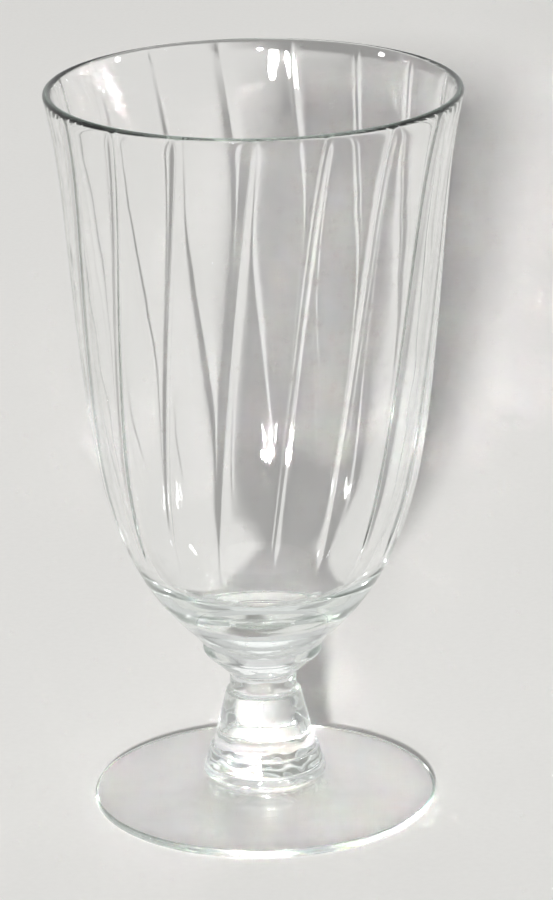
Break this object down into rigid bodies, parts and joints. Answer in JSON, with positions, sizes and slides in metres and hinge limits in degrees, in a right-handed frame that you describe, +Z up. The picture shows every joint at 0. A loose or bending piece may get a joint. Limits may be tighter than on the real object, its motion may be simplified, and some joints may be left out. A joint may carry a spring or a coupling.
{
  "type": "iced tea glass",
  "caption": "Footed clear iced tea glass with a tall flared bowl, swirled optic panels inside, a short stacked stem and a flat round foot.",
  "frame": {"origin": "middle of the ring that the foot rests on, at table height", "axes": "+Z up along the glass's turning axis, X and Y level; the pictured side faces -Y"},
  "size_m": [0.0842, 0.0842, 0.152],
  "materials": {
    "bowl_glass": "clear blown glass, fire-polished, smooth outside with fine swirled optic ridges inside",
    "stem_glass": "clear solid glass worked hot, soft-edged, faintly green where it is thick",
    "foot_glass": "clear flattened glass, fire-polished round the edge"
  },
  "bodies": {
    "root": {"bowl": "bowl_glass", "bowl_button": "stem_glass", "stem_neck": "stem_glass", "stem_cone": "stem_glass", "stem_collar": "stem_glass", "foot_wafer": "stem_glass", "foot": "foot_glass"}
  },
  "joints": []
}
